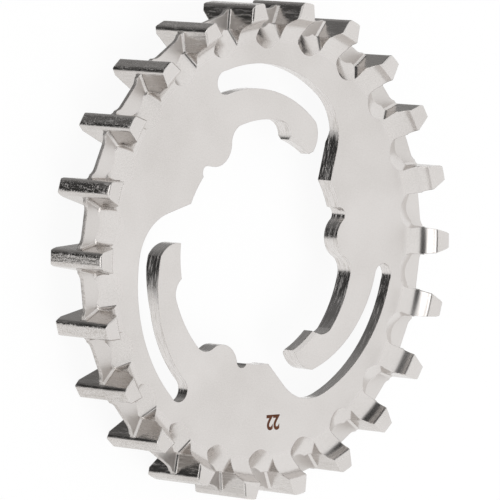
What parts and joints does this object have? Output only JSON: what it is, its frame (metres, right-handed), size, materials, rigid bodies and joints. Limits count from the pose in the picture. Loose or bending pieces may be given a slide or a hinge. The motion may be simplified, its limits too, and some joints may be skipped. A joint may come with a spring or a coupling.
{
  "type": "belt drive sprocket",
  "caption": "Small toothed belt sprocket with a centre fin, mud ports and a three-lobe hub opening with spring arms.",
  "frame": {"origin": "the axle's line, in the plane of the teeth's back ends that the sprocket lies on", "axes": "+Z along the axle's line towards the front face, +X through the middle of one tooth"},
  "size_m": [0.076, 0.0752, 0.011],
  "materials": {
    "stainless_steel": "satin"
  },
  "bodies": {
    "root": {"belt_sprocket": "stainless_steel"}
  },
  "joints": []
}
